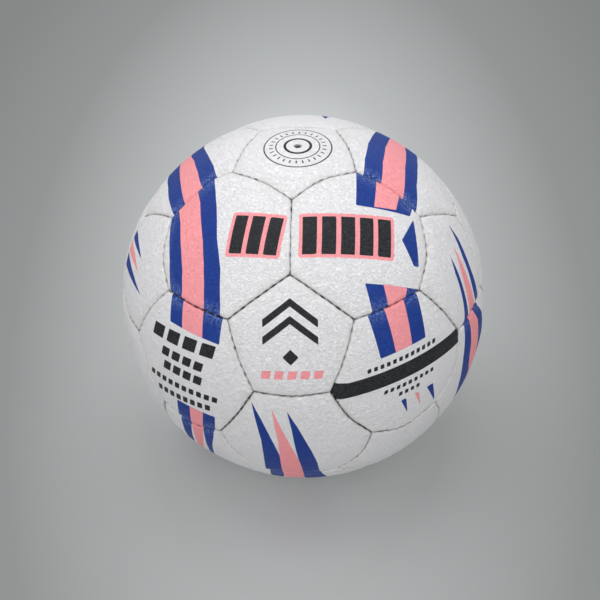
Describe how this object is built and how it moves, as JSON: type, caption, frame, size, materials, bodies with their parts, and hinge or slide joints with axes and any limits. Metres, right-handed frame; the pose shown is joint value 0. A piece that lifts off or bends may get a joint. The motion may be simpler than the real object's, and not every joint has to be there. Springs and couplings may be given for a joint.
{
  "type": "handball",
  "caption": "Hand-stitched handball of pentagon and hexagon panels in white synthetic leather with blue and pink bands, lined, over a rubber bladder with an inflation valve.",
  "frame": {"origin": "centre of the ball", "axes": "+Z runs out through the inflation valve; -Y faces the front of the ball, the first pentagon of the upper row; +X is to the right of that view"},
  "size_m": [0.188, 0.188, 0.188],
  "materials": {
    "cover": "fine-grained white synthetic leather, satin, with blue, pink and black print",
    "lining": "bonded layers of woven cotton and polyester",
    "thread": "waxed polyester cord",
    "bladder": "smooth matt rubber",
    "valve_rubber": "matt grey rubber"
  },
  "bodies": {
    "root": {"pentagon_valve": "cover", "pentagon_base": "cover", "pentagon_upper_1": "cover", "pentagon_upper_2": "cover", "pentagon_upper_3": "cover", "pentagon_upper_4": "cover", "pentagon_upper_5": "cover", "pentagon_lower_1": "cover", "pentagon_lower_2": "cover", "pentagon_lower_3": "cover", "pentagon_lower_4": "cover", "pentagon_lower_5": "cover", "hexagon_top_1": "cover", "hexagon_top_2": "cover", "hexagon_top_3": "cover", "hexagon_top_4": "cover", "hexagon_top_5": "cover", "hexagon_upper_1": "cover", "hexagon_upper_2": "cover", "hexagon_upper_3": "cover", "hexagon_upper_4": "cover", "hexagon_upper_5": "cover", "hexagon_lower_1": "cover", "hexagon_lower_2": "cover", "hexagon_lower_3": "cover", "hexagon_lower_4": "cover", "hexagon_lower_5": "cover", "hexagon_base_1": "cover", "hexagon_base_2": "cover", "hexagon_base_3": "cover", "hexagon_base_4": "cover", "hexagon_base_5": "cover", "lining_pentagons": "lining", "lining_hexagons": "lining", "thread_pentagon_seams": "thread", "thread_hexagon_seams": "thread", "bladder": "bladder", "valve_patch": "bladder", "valve_housing": "valve_rubber", "valve_core": "valve_rubber"}
  },
  "joints": []
}
